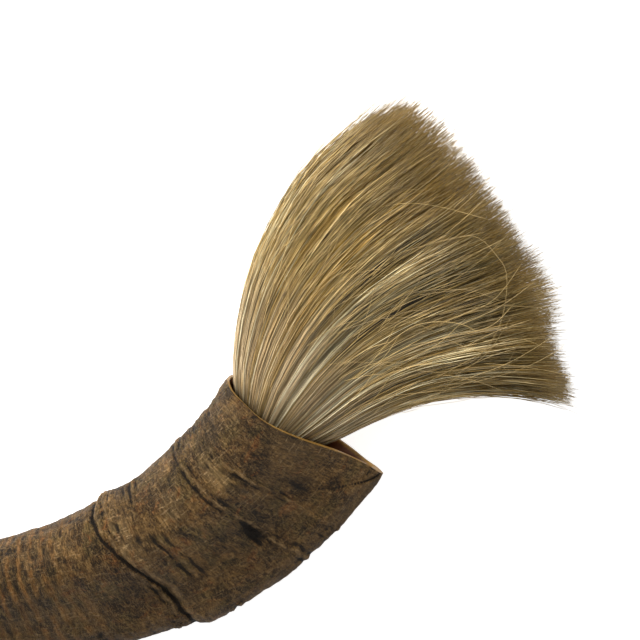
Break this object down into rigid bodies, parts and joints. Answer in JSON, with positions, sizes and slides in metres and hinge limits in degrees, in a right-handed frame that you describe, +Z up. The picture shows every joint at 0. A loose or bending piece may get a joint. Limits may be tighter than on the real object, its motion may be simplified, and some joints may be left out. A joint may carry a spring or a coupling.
{
  "type": "calligraphy brush",
  "caption": "Large brush lying on its side: a flared tuft of straw-coloured animal hair set in the mouth of a curved, hollow horn handle.",
  "frame": {"origin": "on the plane that the brush lies on, straight below the centre of the horn's mouth", "axes": "+Z up from the plane; +X and +Y in the plane, the tuft fanning out towards +X and +Y and the horn curving away towards -X, so that +X runs along the longest extent"},
  "size_m": [0.3149, 0.1805, 0.0601],
  "materials": {
    "horn": "natural horn, dry and matt, with growth rings",
    "glue": "set hide glue and rosin",
    "seal": "melted rosin",
    "thread": "waxed silk thread",
    "coat_fibre": "straw-coloured animal hair",
    "belly_fibre": "golden animal hair",
    "core_fibre": "dark, stiff animal hair"
  },
  "bodies": {
    "handle": {"horn_handle": "horn", "glue_bed": "glue", "root_seal": "seal", "core_binding": "thread", "coat_binding": "thread", "core_hair_root": "core_fibre", "belly_hair_root": "belly_fibre", "coat_hair_root": "coat_fibre"},
    "tuft": {"core_hair": "core_fibre", "belly_hair": "belly_fibre", "coat_hair": "coat_fibre"}
  },
  "joints": [
    {"name": "tuft_bend", "type": "hinge", "parent": "handle", "child": "tuft", "pos_m": [-0.00712, 0.00445, 0.0186], "axis": [0, 0, 1], "range_deg": [-20, 20], "stiffness_Nm_per_rad": 0.1}
  ]
}
